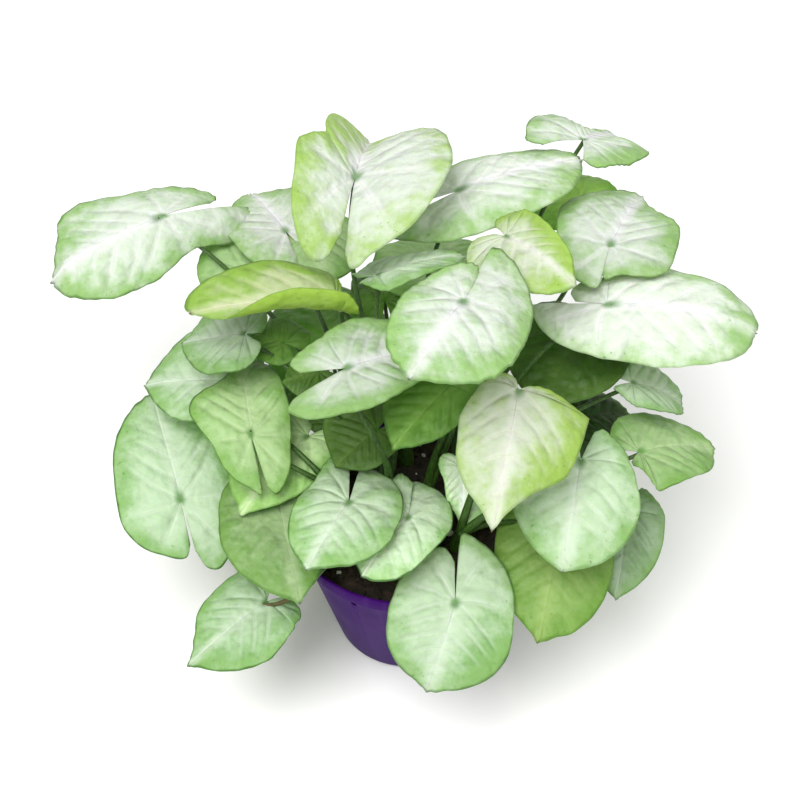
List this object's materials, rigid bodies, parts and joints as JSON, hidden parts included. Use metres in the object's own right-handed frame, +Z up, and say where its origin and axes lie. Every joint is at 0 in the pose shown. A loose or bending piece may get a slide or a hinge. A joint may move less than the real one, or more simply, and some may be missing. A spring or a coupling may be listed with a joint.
{
  "type": "potted syngonium",
  "caption": "Bushy potted arrowhead plant with pale green heart-shaped leaves on slim petioles in a tapered purple nursery pot.",
  "frame": {"origin": "centre of the pot's underside, on the surface that the pot stands on", "axes": "+Z up along the pot's axis; -Y towards the plant's front, the side that the picture shows; +X to the right seen from the front"},
  "size_m": [0.4377, 0.3613, 0.2987],
  "materials": {
    "pot": "smooth moulded purple plastic, soft sheen",
    "soil": "dark damp potting soil with a few white grains",
    "foliage": "pale green and cream leaf, satin, with pale veins"
  },
  "bodies": {
    "root": {"pot": "pot", "soil": "soil", "stem_back_left": "foliage", "stem_back": "foliage", "stem_back_right": "foliage", "stem_right": "foliage", "stem_front_right": "foliage", "stem_front": "foliage", "stem_front_left": "foliage", "stem_left": "foliage", "stem_middle_left": "foliage", "stem_middle": "foliage"}
  },
  "joints": []
}
